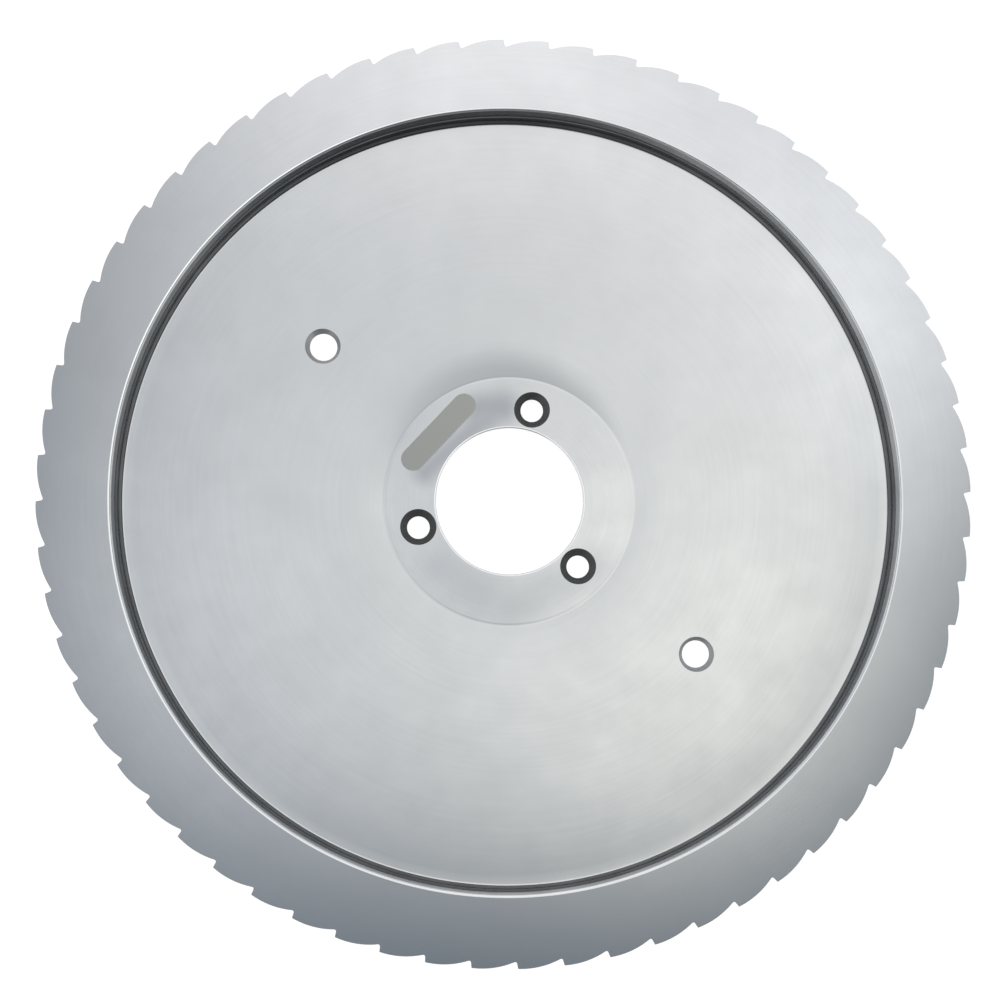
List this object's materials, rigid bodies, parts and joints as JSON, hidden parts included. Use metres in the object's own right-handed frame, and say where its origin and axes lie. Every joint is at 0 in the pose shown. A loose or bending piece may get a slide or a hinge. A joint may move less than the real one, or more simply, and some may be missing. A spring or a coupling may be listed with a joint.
{
  "type": "food slicer blade",
  "caption": "Toothed circular slicer blade: a dished steel disc with a central bore, countersunk hub screw holes, a front recess for its cover and a hollow-ground edge.",
  "frame": {"origin": "centre of the bore at the hub's back face, which the blade lies on", "axes": "+Z along the blade's axis towards its recessed front, +X and +Y in the blade's plane"},
  "size_m": [0.2998, 0.2998, 0.0225],
  "materials": {
    "ground_steel": "fine satin ground steel, with as-turned recess wall and countersinks"
  },
  "bodies": {
    "root": {"blade": "ground_steel"}
  },
  "joints": []
}
